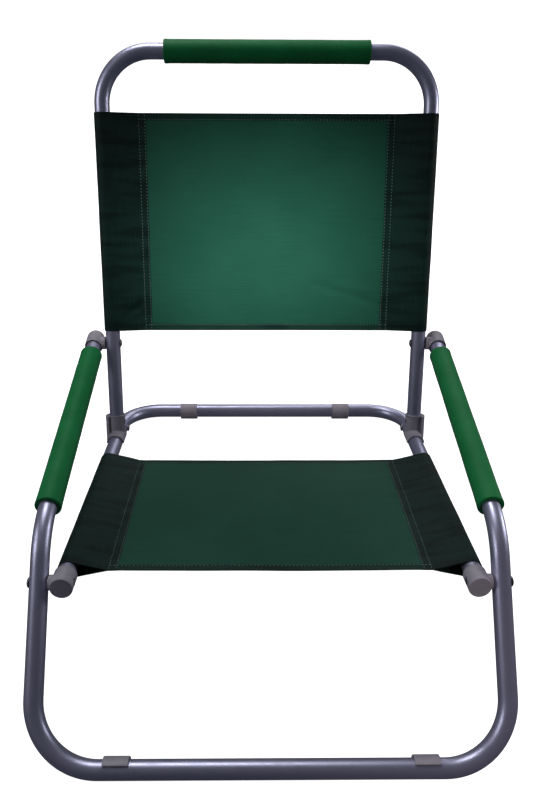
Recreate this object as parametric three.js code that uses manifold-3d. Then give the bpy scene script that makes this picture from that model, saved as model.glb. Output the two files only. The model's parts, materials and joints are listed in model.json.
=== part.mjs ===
// A low folding beach chair: three bent steel tube frames, two fabric slings and moulded plastic fittings.
// Millimetres, +Z up, the chair faces -Y and left is -X.
// The origin is on the floor, under the middle of the chair's box.
import * as THREE from "three";
import { mergeVertices } from "three/addons/utils/BufferGeometryUtils.js";
import Module from "manifold-3d";

const wasm = await Module();
wasm.setup();

// Tubes. A fit gap parts every two pieces that touch.
const tubeRadius = 11;
const tubeBore = 9.8;
const fitGap = 0.3;
const sleeveBore = tubeRadius + fitGap;

// Side view: places as [y, z], angles in degrees above the horizontal.
const footWall = 2.5;
const barHeight = sleeveBore + footWall;
const frontBar = [-306.4, barHeight];
const rearBar = [306.4, barHeight];
const legAngle = 40.96;
const seatPivotUpLeg = 200.8;
const kneeUpLeg = 260.3;
const backPivot = [275.8, 178.2];
const backLean = 24.8;

// Half widths, from the middle plane to each tube's centre line.
const backHalfWidth = 239;
const seatHalfWidth = 238;
const legHalfWidth = 265.5;
const armEndHalfWidth = 268;

// Bend radii of the tubes' centre lines.
const backCornerRadius = 72;
const frontCornerRadius = 74;
const rearCornerRadius = 60;
const kneeRadius = 90;

// The back frame, measured along its uprights from the pivot.
const backTopUp = 421;
const backTubeDown = 135.2;
const backClothFrom = 20.3;
const backClothTo = 338.3;

// The seat frame, measured along its rails from the pivot.
const seatClothFrom = 23.5;
const seatClothTo = 297;
const railPinAt = 411;

// Cloth slings: a sleeve round each tube runs in to a seam, and a single layer spans the rest.
const clothThickness = 0.9;
const sleeveRadius = sleeveBore + clothThickness;
const backSeamHalfWidth = 183;
const seatSeamHalfWidth = 190;

// Foam sleeves.
const foamRadius = 15.9;
const gripHalfLength = 147;
const armFoamFrom = 32;
const armFoamTo = 350;

// Plastic caps over the tubes' ends, each pinned through by the rivet that it turns on.
// Along the tube from the pivot: nose is the closed end, boreEnd the bore's floor, mouth the open end.
const armCap = { radius: 13.6, nose: 22, boreEnd: 14.5, mouth: 11.5, bossRadius: 10, noseRound: 9 };
const seatCap = { radius: 13.5, nose: 12, boreEnd: 9.5, mouth: 15, bossRadius: 9, noseRound: 1.5 };
const capRecess = 1.2;

// Saddles on the lower ends of the back frame: a sleeve round the upright, and a wing on its outer side.
const saddleRadius = 12.9;
const saddleFrom = 115.7;
const saddleCrown = 137.7;
const saddleWing = { radius: 15.8, offset: 1.6, from: 117, to: 162, besideRail: 0.6 };
const saddleRivetAt = 126.7;
const saddleRecess = { inner: 0.7, outer: 1.6 };
const crownSides = 96;

// Rivets.
const shankRadius = 3;
const shankHole = shankRadius + fitGap;
const headRadius = 6;
const headHeight = 2.6;
const smallHeadRadius = 4.6;
const smallHeadHeight = 1.3;
const flushEndHeight = 0.3;

// Foot clips.
const clipRadius = sleeveBore + footWall + 0.4;
const frontClip = { halfLength: 14.5, x: 171, fromAngle: -100, toAngle: 100, facing: 0 };
const rearClip = { halfLength: 14, x: 131, fromAngle: -100, toAngle: 100, facing: 180 };

const sides = [
  { name: "left", sign: -1 },
  { name: "right", sign: 1 },
];
const radians = THREE.MathUtils.degToRad;

// A place [y, z] moved by a distance along a direction given in degrees above +Y.
function along([y, z], distance, angle) {
  return [y + distance * Math.cos(radians(angle)), z + distance * Math.sin(radians(angle))];
}

const seatPivot = along(frontBar, seatPivotUpLeg, legAngle);
const knee = along(frontBar, kneeUpLeg, legAngle);
const railAngle = THREE.MathUtils.radToDeg(Math.atan2(rearBar[1] - seatPivot[1], rearBar[0] - seatPivot[0]));
const armAngle = THREE.MathUtils.radToDeg(Math.atan2(backPivot[1] - knee[1], backPivot[0] - knee[0]));
const uprightAngle = 90 - backLean;

const steel = () => new THREE.MeshStandardMaterial({ color: 0x9a9ca3, roughness: 0.35, metalness: 0.9 });
const rivetSteel = () => new THREE.MeshStandardMaterial({ color: 0x8d8f94, roughness: 0.4, metalness: 0.9 });
const plastic = () => new THREE.MeshStandardMaterial({ color: 0x827e82, roughness: 0.6, metalness: 0 });
const foam = () => new THREE.MeshStandardMaterial({ color: 0x146b3c, roughness: 0.9, metalness: 0 });
const cloth = () => new THREE.MeshStandardMaterial({ color: 0x1d4f3c, roughness: 0.85, metalness: 0 });

// ---- Solids ----

// A closed three.js geometry as a manifold-3d solid with its faces turned outwards.
function solidOf(geometry) {
  const bare = geometry.index ? geometry.toNonIndexed() : geometry.clone();
  bare.deleteAttribute("normal");
  bare.deleteAttribute("uv");
  const merged = mergeVertices(bare, 1e-3);
  const triVerts = new Uint32Array(merged.index.array);
  const made = new wasm.Manifold(
    new wasm.Mesh({ numProp: 3, vertProperties: merged.attributes.position.array, triVerts }),
  );
  if (made.volume() > 0) return made;
  triVerts.reverse();
  return new wasm.Manifold(
    new wasm.Mesh({ numProp: 3, vertProperties: merged.attributes.position.array, triVerts }),
  );
}

function geometryOf(solid) {
  const { numProp, vertProperties, triVerts } = solid.getMesh();
  const geometry = new THREE.BufferGeometry();
  const positions = new Float32Array((vertProperties.length / numProp) * 3);
  for (let i = 0; i < positions.length / 3; i++) {
    positions.set(vertProperties.subarray(i * numProp, i * numProp + 3), i * 3);
  }
  geometry.setAttribute("position", new THREE.BufferAttribute(positions, 3));
  geometry.setIndex(new THREE.BufferAttribute(triVerts, 1));
  geometry.computeVertexNormals();
  return geometry;
}

// A rod along X, from one x to another, through [y, z].
function rodAlongX(fromX, toX, [y, z], radius, facets = 12) {
  const rod = new THREE.CylinderGeometry(radius, radius, Math.abs(toX - fromX), facets);
  rod.rotateZ(Math.PI / 2).translate((fromX + toX) / 2, y, z);
  return solidOf(rod);
}

function withCut(solid, tools) {
  return tools.reduce((left, tool) => left.subtract(tool), solid);
}

// Rods that cut a rivet's holes through a tube on each side of the chair.
function rivetHoles(halfWidth, place) {
  const reach = tubeRadius + 9;
  return sides.map(({ sign }) =>
    rodAlongX(sign * (halfWidth - reach), sign * (halfWidth + reach), place, shankHole),
  );
}

// A path through fixed stations, so that a sweep has a ring where each bend begins and ends.
class StationPath extends THREE.Curve {
  constructor(stations) {
    super();
    this.stations = stations;
  }
  getPoint(t, target = new THREE.Vector3()) {
    return target.copy(this.stations[Math.round(t * (this.stations.length - 1))].point);
  }
  getPointAt(u, target) {
    return this.getPoint(u, target);
  }
  getTangentAt(u, target = new THREE.Vector3()) {
    return target.copy(this.stations[Math.round(u * (this.stations.length - 1))].tangent);
  }
}

// Stations along straight runs joined by round bends: corners are { at, radius, steps }.
function bentStations(start, corners, end) {
  const stations = [];
  let from = start;
  corners.forEach(({ at, radius, steps }, i) => {
    const next = i + 1 < corners.length ? corners[i + 1].at : end;
    const inward = at.clone().sub(from).normalize();
    const outward = next.clone().sub(at).normalize();
    if (i === 0) stations.push({ point: start, tangent: inward });
    const turn = inward.angleTo(outward);
    const bendStart = at.clone().addScaledVector(inward, -radius * Math.tan(turn / 2));
    const side = outward.clone().addScaledVector(inward, -outward.dot(inward)).normalize();
    for (let step = 0; step <= steps; step++) {
      const angle = (turn * step) / steps;
      stations.push({
        point: bendStart
          .clone()
          .addScaledVector(inward, radius * Math.sin(angle))
          .addScaledVector(side, radius * (1 - Math.cos(angle))),
        tangent: inward.clone().multiplyScalar(Math.cos(angle)).addScaledVector(side, Math.sin(angle)),
      });
    }
    from = at;
  });
  const last = corners[corners.length - 1].at;
  stations.push({ point: end, tangent: end.clone().sub(last).normalize() });
  return stations;
}

function ringShape(outer, inner) {
  const shape = new THREE.Shape();
  shape.absarc(0, 0, outer, 0, 2 * Math.PI, false);
  const hole = new THREE.Path();
  hole.absarc(0, 0, inner, 0, 2 * Math.PI, true);
  shape.holes.push(hole);
  return shape;
}

// An open-ended steel tube swept along its stations.
function bentTube(stations) {
  const swept = new THREE.ExtrudeGeometry(ringShape(tubeRadius, tubeBore), {
    steps: stations.length - 1,
    curveSegments: 8,
    extrudePath: new StationPath(stations),
  });
  return solidOf(swept);
}

const group = new THREE.Group();

function addMesh(name, solid, material) {
  const mesh = new THREE.Mesh(geometryOf(solid), material);
  mesh.name = name;
  group.add(mesh);
  return mesh;
}

// Places a mesh modelled about its own origin with its axis along +Z: origin at [y, z], axis at the angle.
function stand(mesh, x, [y, z], angle) {
  mesh.position.set(x, y, z);
  mesh.rotation.x = radians(angle - 90);
}

const point = (x, [y, z]) => new THREE.Vector3(x, y, z);

// ---- Tube frames ----

function backFrame() {
  const foot = along(backPivot, -backTubeDown, uprightAngle);
  const top = along(backPivot, backTopUp, uprightAngle);
  const corner = (x) => ({ at: point(x, top), radius: backCornerRadius, steps: 7 });
  const tube = bentTube(
    bentStations(
      point(-backHalfWidth, foot),
      [corner(-backHalfWidth), corner(backHalfWidth)],
      point(backHalfWidth, foot),
    ),
  );
  const saddlePlace = along(backPivot, -saddleRivetAt, uprightAngle);
  return withCut(tube, [...rivetHoles(backHalfWidth, backPivot), ...rivetHoles(backHalfWidth, saddlePlace)]);
}

function armLegFrame() {
  const armEnd = along(backPivot, armCap.boreEnd - fitGap, armAngle);
  const kneeCorner = (x) => ({ at: point(x, knee), radius: kneeRadius, steps: 4 });
  const frontCorner = (x) => ({ at: point(x, frontBar), radius: frontCornerRadius, steps: 7 });
  const corners = [
    kneeCorner(-legHalfWidth),
    frontCorner(-legHalfWidth),
    frontCorner(legHalfWidth),
    kneeCorner(legHalfWidth),
  ];
  const tube = bentTube(
    bentStations(point(-armEndHalfWidth, armEnd), corners, point(armEndHalfWidth, armEnd)),
  );
  return withCut(tube, [
    ...rivetHoles(legHalfWidth, seatPivot),
    ...rivetHoles(armEndHalfWidth, backPivot),
  ]);
}

function seatFrame() {
  const front = along(seatPivot, fitGap - seatCap.boreEnd, railAngle);
  const corner = (x) => ({ at: point(x, rearBar), radius: rearCornerRadius, steps: 7 });
  const tube = bentTube(
    bentStations(
      point(-seatHalfWidth, front),
      [corner(-seatHalfWidth), corner(seatHalfWidth)],
      point(seatHalfWidth, front),
    ),
  );
  const pinPlace = along(seatPivot, railPinAt, railAngle);
  return withCut(tube, [...rivetHoles(seatHalfWidth, seatPivot), ...rivetHoles(seatHalfWidth, pinPlace)]);
}

// ---- Slings ----

// Points on a round stretch about (centre, 0), both ends included; angles in radians.
function arcPoints(centre, radius, from, to, count) {
  const points = [];
  for (let i = 0; i <= count; i++) {
    const angle = from + ((to - from) * i) / count;
    points.push(new THREE.Vector2(centre + radius * Math.cos(angle), radius * Math.sin(angle)));
  }
  return points;
}

// Cross-section of a sling: a teardrop sleeve round each tube, joined by a single layer between the seams.
function slingShape(halfWidth, seamHalfWidth) {
  const half = clothThickness / 2;
  const pocketTip = seamHalfWidth + 4;
  const outside = Math.PI - Math.acos(sleeveRadius / (halfWidth - seamHalfWidth));
  const inside = Math.PI - Math.acos(sleeveBore / (halfWidth - pocketTip));
  const shape = new THREE.Shape([
    new THREE.Vector2(seamHalfWidth, half),
    ...arcPoints(halfWidth, sleeveRadius, outside, -outside, 16),
    new THREE.Vector2(seamHalfWidth, -half),
    new THREE.Vector2(-seamHalfWidth, -half),
    ...arcPoints(-halfWidth, sleeveRadius, outside - Math.PI, -outside - Math.PI, 16),
    new THREE.Vector2(-seamHalfWidth, half),
  ]);
  for (const { sign } of sides) {
    const start = sign < 0 ? Math.PI : 0;
    shape.holes.push(
      new THREE.Path([
        new THREE.Vector2(sign * pocketTip, 0),
        ...arcPoints(sign * halfWidth, sleeveBore, start - inside, start + inside, 14),
      ]),
    );
  }
  return shape;
}

function sling(halfWidth, seamHalfWidth, length) {
  const made = new THREE.ExtrudeGeometry(slingShape(halfWidth, seamHalfWidth), {
    depth: length,
    bevelEnabled: false,
  });
  return solidOf(made);
}

// ---- Foam, caps, saddles, clips and rivets ----

function foamSleeve(length) {
  const made = new THREE.ExtrudeGeometry(ringShape(foamRadius, sleeveBore), {
    depth: length,
    bevelEnabled: false,
    curveSegments: 10,
  });
  return solidOf(made);
}

// A cap with its pivot at the origin and its tube coming in along +Z. Its boss points along X by reach, and
// a recess for the rivet's small head lies on the side that recessSign gives.
function endCap({ radius, nose, boreEnd, mouth, bossRadius, noseRound }, reach, recessSign) {
  const profile = [new THREE.Vector2(0, -nose)];
  const roundSteps = 4;
  for (let step = 0; step <= roundSteps; step++) {
    const angle = (Math.PI / 2) * (step / roundSteps);
    profile.push(
      new THREE.Vector2(
        radius - noseRound + noseRound * Math.sin(angle),
        -nose + noseRound - noseRound * Math.cos(angle),
      ),
    );
  }
  const mouthChamfer = 0.8;
  profile.push(new THREE.Vector2(radius, mouth - mouthChamfer));
  profile.push(new THREE.Vector2(radius - mouthChamfer, mouth));
  profile.push(new THREE.Vector2(0, mouth));
  const body = solidOf(new THREE.LatheGeometry(profile, 20).rotateX(Math.PI / 2));
  const boss = rodAlongX(0, reach, [0, 0], bossRadius, 20);
  const boreLength = boreEnd + mouth + 1;
  const bore = new THREE.CylinderGeometry(sleeveBore, sleeveBore, boreLength, 24);
  bore.rotateX(Math.PI / 2).translate(0, 0, boreLength / 2 - boreEnd);
  const past = 3 * radius;
  const hole = rodAlongX(-past, past, [0, 0], shankHole);
  const recess = rodAlongX(
    recessSign * (radius - capRecess),
    recessSign * past,
    [0, 0],
    smallHeadRadius + fitGap,
  );
  return withCut(body.add(boss), [solidOf(bore), hole, recess]);
}

// A sleeve on the upright's end, cut off round the pivot, with a wing that reaches down outside the rail.
function saddle(sign) {
  const clear = 2 * saddleWing.radius;
  const bar = (radius, x, from) => {
    const length = saddleWing.to - from;
    const made = new THREE.CylinderGeometry(radius, radius, length, 28);
    return solidOf(made.rotateX(Math.PI / 2).translate(x, 0, -from - length / 2));
  };
  const withinCrown = rodAlongX(-clear, clear, [0, 0], saddleCrown, crownSides);
  const sleeve = bar(saddleRadius, 0, saddleFrom).intersect(withinCrown);
  const wingFrom = seatHalfWidth + tubeRadius + saddleWing.besideRail - backHalfWidth;
  const besideRail = rodAlongX(sign * wingFrom, sign * clear, [0, 0], saddleWing.to + clear, crownSides);
  const wing = bar(saddleWing.radius, sign * saddleWing.offset, saddleWing.from).intersect(besideRail);
  const bore = new THREE.CylinderGeometry(sleeveBore, sleeveBore, 2 * backTubeDown + 2, 24);
  const rivetPlace = [0, -saddleRivetAt];
  const hole = rodAlongX(-clear, clear, rivetPlace, shankHole);
  const outerFace = saddleWing.offset + saddleWing.radius - saddleRecess.outer;
  const innerFace = saddleRecess.inner - saddleRadius;
  const outerRecess = rodAlongX(sign * outerFace, sign * clear, rivetPlace, smallHeadRadius + fitGap);
  const innerRecess = rodAlongX(sign * innerFace, -sign * clear, rivetPlace, smallHeadRadius + fitGap);
  return withCut(sleeve.add(wing), [solidOf(bore.rotateX(Math.PI / 2)), hole, outerRecess, innerRecess]);
}

// A clip round the bar, open on the side away from its facing, with a flat sole.
function footClip({ halfLength, fromAngle, toAngle, facing }) {
  const shape = new THREE.Shape();
  const from = radians(fromAngle + facing);
  const to = radians(toAngle + facing);
  shape.absarc(0, 0, clipRadius, from, to, false);
  shape.absarc(0, 0, sleeveBore, to, from, true);
  shape.closePath();
  const made = new THREE.ExtrudeGeometry(shape, {
    depth: 2 * halfLength,
    bevelEnabled: false,
    curveSegments: 24,
  });
  made.translate(0, 0, -halfLength);
  made.rotateX(Math.PI / 2).rotateZ(Math.PI / 2);
  const blockHeight = clipRadius;
  const belowFloor = new THREE.BoxGeometry(4 * halfLength, 4 * clipRadius, blockHeight);
  belowFloor.translate(0, 0, -barHeight - blockHeight / 2);
  return solidOf(made).subtract(solidOf(belowFloor));
}

// A rivet along X from its outer head to its inner head, each given by where its bearing face lies.
function rivet(outerFace, innerFace, outerHead, innerHead) {
  const profile = [
    new THREE.Vector2(0, outerFace + outerHead.height),
    new THREE.Vector2(outerHead.radius * 0.6, outerFace + outerHead.height * 0.9),
    new THREE.Vector2(outerHead.radius, outerFace + outerHead.height * 0.3),
    new THREE.Vector2(outerHead.radius, outerFace),
    new THREE.Vector2(shankRadius, outerFace),
    new THREE.Vector2(shankRadius, innerFace),
    new THREE.Vector2(innerHead.radius, innerFace),
    new THREE.Vector2(innerHead.radius, innerFace - innerHead.height * 0.3),
    new THREE.Vector2(innerHead.radius * 0.6, innerFace - innerHead.height * 0.9),
    new THREE.Vector2(0, innerFace - innerHead.height),
  ];
  return solidOf(new THREE.LatheGeometry(profile, 12).rotateZ(-Math.PI / 2));
}

// ---- Assembly ----

addMesh("back_frame_tube", backFrame(), steel());
addMesh("arm_leg_frame_tube", armLegFrame(), steel());
addMesh("seat_frame_tube", seatFrame(), steel());

const backCloth = addMesh(
  "back_fabric",
  sling(backHalfWidth, backSeamHalfWidth, backClothTo - backClothFrom),
  cloth(),
);
stand(backCloth, 0, along(backPivot, backClothFrom, uprightAngle), uprightAngle);
const seatCloth = addMesh(
  "seat_fabric",
  sling(seatHalfWidth, seatSeamHalfWidth, seatClothTo - seatClothFrom),
  cloth(),
);
stand(seatCloth, 0, along(seatPivot, seatClothFrom, railAngle), railAngle);

const topGrip = addMesh("top_grip_foam", foamSleeve(2 * gripHalfLength), foam());
const topBar = along(backPivot, backTopUp, uprightAngle);
topGrip.rotation.y = Math.PI / 2;
topGrip.position.set(-gripHalfLength, ...topBar);

const bigHead = { radius: headRadius, height: headHeight };
const smallHead = { radius: smallHeadRadius, height: smallHeadHeight };
const flushEnd = { radius: shankRadius, height: flushEndHeight };

for (const { name, sign } of sides) {
  const armFoam = addMesh(`${name}_arm_foam`, foamSleeve(armFoamTo - armFoamFrom), foam());
  const armRun = Math.hypot(backPivot[0] - knee[0], backPivot[1] - knee[1]);
  const toeIn = (armEndHalfWidth - legHalfWidth) / armRun;
  const foamEnd = point(
    sign * (armEndHalfWidth - toeIn * armFoamTo),
    along(backPivot, -armFoamTo, armAngle),
  );
  armFoam.position.copy(foamEnd);
  const armDirection = point(sign * toeIn, along([0, 0], 1, armAngle)).normalize();
  armFoam.quaternion.setFromUnitVectors(new THREE.Vector3(0, 0, 1), armDirection);

  const armReach = armEndHalfWidth - (backHalfWidth + tubeRadius + fitGap);
  const cap = addMesh(`${name}_arm_cap`, endCap(armCap, -sign * armReach, sign), plastic());
  stand(cap, sign * armEndHalfWidth, backPivot, armAngle + 180);

  const seatReach = legHalfWidth - tubeRadius - fitGap - seatHalfWidth;
  const frontCap = addMesh(`${name}_seat_cap`, endCap(seatCap, sign * seatReach, -sign), plastic());
  stand(frontCap, sign * seatHalfWidth, seatPivot, railAngle);

  const backSaddle = addMesh(`${name}_back_saddle`, saddle(sign), plastic());
  stand(backSaddle, sign * backHalfWidth, backPivot, uprightAngle);

  for (const [end, clip, bar] of [
    ["front", frontClip, frontBar],
    ["rear", rearClip, rearBar],
  ]) {
    const foot = addMesh(`${name}_${end}_foot_clip`, footClip(clip), plastic());
    foot.position.set(sign * clip.x, ...bar);
  }

  const armRivet = addMesh(
    `${name}_arm_pivot_rivet`,
    rivet(
      armEndHalfWidth + armCap.radius - capRecess + fitGap,
      backHalfWidth - tubeRadius - fitGap,
      smallHead,
      bigHead,
    ),
    rivetSteel(),
  );
  const seatRivet = addMesh(
    `${name}_seat_pivot_rivet`,
    rivet(
      legHalfWidth + tubeRadius + fitGap,
      seatHalfWidth - seatCap.radius + capRecess - fitGap,
      bigHead,
      smallHead,
    ),
    rivetSteel(),
  );
  const saddleRivet = addMesh(
    `${name}_saddle_rivet`,
    rivet(
      backHalfWidth + saddleWing.offset + saddleWing.radius - saddleRecess.outer + fitGap,
      backHalfWidth - saddleRadius + saddleRecess.inner - fitGap,
      smallHead,
      smallHead,
    ),
    rivetSteel(),
  );
  const railPin = addMesh(
    `${name}_rail_pin`,
    rivet(seatHalfWidth + tubeRadius - 0.4, seatHalfWidth - tubeRadius - fitGap, flushEnd, bigHead),
    rivetSteel(),
  );
  armRivet.position.set(0, ...backPivot);
  seatRivet.position.set(0, ...seatPivot);
  saddleRivet.position.set(0, ...along(backPivot, -saddleRivetAt, uprightAngle));
  railPin.position.set(0, ...along(seatPivot, railPinAt, railAngle));
  for (const pin of [armRivet, seatRivet, saddleRivet, railPin]) {
    if (sign < 0) pin.rotation.z = Math.PI;
  }
}

// The origin goes under the middle of the chair's box, on the floor.
const box = new THREE.Box3().setFromObject(group);
group.position.set(0, -(box.min.y + box.max.y) / 2, -box.min.z);

export default group;
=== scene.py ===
"""The looks of a low folding beach chair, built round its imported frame.

Metres, +Z up. The chair faces -Y and left is -X. Places in the side view are (y, z) pairs.
"""
import json
import math
import random

import bmesh
import bpy
import numpy as np
from mathutils import Matrix, Vector, noise


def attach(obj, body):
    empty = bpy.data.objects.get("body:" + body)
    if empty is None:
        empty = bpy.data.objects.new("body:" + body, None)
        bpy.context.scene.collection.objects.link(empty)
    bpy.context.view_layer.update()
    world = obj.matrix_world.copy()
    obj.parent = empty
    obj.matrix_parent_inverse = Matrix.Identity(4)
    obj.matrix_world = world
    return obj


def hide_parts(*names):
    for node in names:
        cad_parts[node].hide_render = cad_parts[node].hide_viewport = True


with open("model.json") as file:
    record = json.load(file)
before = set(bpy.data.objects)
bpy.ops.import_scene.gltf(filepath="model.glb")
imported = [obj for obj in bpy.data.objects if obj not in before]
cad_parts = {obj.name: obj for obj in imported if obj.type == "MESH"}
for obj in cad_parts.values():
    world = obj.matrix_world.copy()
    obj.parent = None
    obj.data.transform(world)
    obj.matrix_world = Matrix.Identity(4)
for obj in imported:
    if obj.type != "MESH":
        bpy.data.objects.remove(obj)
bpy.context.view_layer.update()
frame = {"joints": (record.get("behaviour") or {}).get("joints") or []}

random.seed(11)

# ---- Driving dimensions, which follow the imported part's ----
# Places along a tube are measured from its frame's pivot.

TUBE_RADIUS = 0.011
TUBE_BORE = 0.0098
SLEEVE_BORE = 0.0113
BAR_HEIGHT = 0.0138
LEG_ANGLE = 40.96
SEAT_PIVOT_UP_LEG = 0.2008
KNEE_UP_LEG = 0.2603
BAR_SPREAD = 0.6128
UPRIGHT_ANGLE = 65.2

BACK_HALF_WIDTH = 0.239
SEAT_HALF_WIDTH = 0.238
LEG_HALF_WIDTH = 0.2655
ARM_END_HALF_WIDTH = 0.268

BACK_CORNER_RADIUS = 0.072
FRONT_CORNER_RADIUS = 0.074
REAR_CORNER_RADIUS = 0.060
KNEE_RADIUS = 0.090

BACK_TOP_UP = 0.421
BACK_TUBE_DOWN = 0.1352
BACK_CLOTH = (0.0203, 0.3383)
SEAT_CLOTH = (0.0235, 0.297)
RAIL_PIN_AT = 0.411

FOAM_RADIUS = 0.0159
GRIP_HALF_LENGTH = 0.147
ARM_FOAM = (0.032, 0.350)

ARM_CAP = {
    "radius": 0.0136,
    "nose": 0.022,
    "bore_end": 0.0145,
    "mouth": 0.0115,
    "boss": 0.010,
    "round": 0.009,
    "flare": 0.0012,
}
SEAT_CAP = {
    "radius": 0.0135,
    "nose": 0.012,
    "bore_end": 0.0095,
    "mouth": 0.015,
    "boss": 0.009,
    "round": 0.0015,
    "flare": 0.0002,
}
CAP_RECESS = 0.0012

SADDLE_RADIUS = 0.0129
SADDLE_FROM = 0.1157
SADDLE_RIVET_AT = 0.1267
SADDLE_WING = {"radius": 0.0158, "offset": 0.0016, "along": (0.117, 0.162), "from_x": 0.2496}
SADDLE_RECESS = {"inner": 0.0007, "outer": 0.0016}
SADDLE_OUTER_SEAT = SADDLE_WING["offset"] + SADDLE_WING["radius"] - SADDLE_RECESS["outer"]
SADDLE_INNER_SEAT = SADDLE_RADIUS - SADDLE_RECESS["inner"]
# The hood is the mesh's own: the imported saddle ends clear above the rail.
SADDLE_HOOD = {"along_rail": (0.353, 0.386), "radius": 0.0134}
RAIL_PASSAGE = {"along_rail": (0.3, 0.45), "middle": 0.38, "radius": 0.0114}

CLIP_RADIUS = 0.0142
FRONT_CLIP = {"x": 0.171, "half_length": 0.0145, "facing": 1}
REAR_CLIP = {"x": 0.131, "half_length": 0.014, "facing": -1}

FIT_GAP = 0.0003
SHANK_RADIUS = 0.003
BIG_HEAD = (0.006, 0.0026)
SMALL_HEAD = (0.0046, 0.0013)
SMALL_HOLE = 0.0049

X_WAY = Vector((1, 0, 0))
SQUARE = ((-1, -1), (1, -1), (1, 1), (-1, 1))
SIDES = (("left", -1), ("right", 1))


def along(start, distance, angle):
    """A side-view place moved by a distance along an angle above +Y."""
    return (
        start[0] + distance * math.cos(math.radians(angle)),
        start[1] + distance * math.sin(math.radians(angle)),
    )


def angle_between(start, end):
    return math.degrees(math.atan2(end[1] - start[1], end[0] - start[0]))


def point(x, place):
    return Vector((x, place[0], place[1]))


def way_at(angle):
    """The unit vector in the side view at an angle above +Y."""
    return point(0, along((0, 0), 1, angle))


pivots = {joint["name"]: joint["pos_m"] for joint in frame["joints"]}
back_pivot = (pivots["back_fold"][1], pivots["back_fold"][2])
seat_pivot = (pivots["seat_fold"][1], pivots["seat_fold"][2])
front_bar = along(seat_pivot, -SEAT_PIVOT_UP_LEG, LEG_ANGLE)
knee = along(front_bar, KNEE_UP_LEG, LEG_ANGLE)
rear_bar = (front_bar[0] + BAR_SPREAD, BAR_HEIGHT)
rail_angle = angle_between(seat_pivot, rear_bar)
arm_angle = angle_between(knee, back_pivot)
saddle_rivet_place = along(back_pivot, -SADDLE_RIVET_AT, UPRIGHT_ANGLE)
rail_pin_place = along(seat_pivot, RAIL_PIN_AT, rail_angle)

# ---- Materials ----

PAINT_DARK = (0.41, 0.41, 0.58, 1)
PAINT_LIGHT = (0.55, 0.55, 0.74, 1)
PAINT_RUBBED = (0.27, 0.265, 0.28, 1)
PLASTIC_DARK = (0.30, 0.283, 0.336, 1)
PLASTIC_LIGHT = (0.38, 0.36, 0.42, 1)
FOAM_DARK = (0.006, 0.185, 0.050, 1)
FOAM_LIGHT = (0.009, 0.225, 0.064, 1)
FOAM_PORE = (0.004, 0.06, 0.024, 1)
CLOTH_DARK = (0.012, 0.080, 0.051, 1)
CLOTH_LIGHT = (0.016, 0.098, 0.063, 1)
CLOTH_DOUBLE_SHADE = (0.008, 0.026, 0.022, 1)
CLOTH_FOLD_SHADE = (0.003, 0.009, 0.009, 1)
CLOTH_RIB = (0.004, 0.03, 0.02, 1)
CLOTH_SLUB = (0.02, 0.12, 0.08, 1)
CLOTH_GAP = (0.002, 0.014, 0.01, 1)
THREAD_DARK = (0.10, 0.18, 0.16, 1)
THREAD_LIGHT = (0.19, 0.29, 0.26, 1)
ZINC_DARK = (0.24, 0.24, 0.26, 1)
ZINC_LIGHT = (0.40, 0.40, 0.43, 1)
WEAVE_PITCH = 0.0007


class Shader:
    """A node material with a Principled surface, and short calls to add and link nodes."""

    def __init__(self, name, **values):
        self.material = bpy.data.materials.new(name)
        self.material.use_nodes = True
        self.tree = self.material.node_tree
        self.surface = self.tree.nodes["Principled BSDF"]
        for socket, value in values.items():
            self.surface.inputs[socket.replace("_", " ")].default_value = value

    def add(self, kind, settings=None, **inputs):
        made = self.tree.nodes.new(kind)
        for key, value in (settings or {}).items():
            setattr(made, key, value)
        for socket, value in inputs.items():
            self.put(made.inputs[socket.replace("_", " ")], value)
        return made

    def put(self, socket, value):
        if isinstance(value, bpy.types.NodeSocket):
            self.tree.links.new(value, socket)
        else:
            socket.default_value = value

    def place(self, kind="Object"):
        return self.add("ShaderNodeTexCoord").outputs[kind]

    def stretched(self, vector, scale):
        return self.add("ShaderNodeMapping", Vector=vector, Scale=scale).outputs["Vector"]

    def noise(self, vector, scale, detail, roughness=0.5):
        made = self.add("ShaderNodeTexNoise", Vector=vector, Scale=scale, Detail=detail, Roughness=roughness)
        return made.outputs["Fac"]

    def math(self, operation, *values):
        made = self.add("ShaderNodeMath", {"operation": operation})
        for socket, value in zip(made.inputs, values):
            self.put(socket, value)
        return made.outputs[0]

    def fit(self, value, low, high, from_low=0.0, from_high=1.0):
        made = self.add("ShaderNodeMapRange")
        for socket, number in zip(made.inputs, (value, from_low, from_high, low, high)):
            self.put(socket, number)
        return made.outputs[0]

    def mix(self, factor, first, second):
        made = self.add("ShaderNodeMix", {"data_type": "RGBA"})
        self.put(made.inputs[0], factor)
        self.put(made.inputs[6], first)
        self.put(made.inputs[7], second)
        return made.outputs[2]

    def tint(self, value, low, high, first, second, most=1.0):
        """Goes from the first colour towards the second as a value goes from low to high."""
        return self.mix(self.fit(value, 0.0, most, low, high), first, second)

    def bump(self, height, strength, distance, under=None):
        made = self.add("ShaderNodeBump", Height=height, Strength=strength, Distance=distance)
        if under is not None:
            self.put(made.inputs["Normal"], under)
        return made.outputs["Normal"]

    def finish(self, **links):
        for socket, value in links.items():
            self.put(self.surface.inputs[socket.replace("_", " ")], value)
        return self.material


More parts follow.
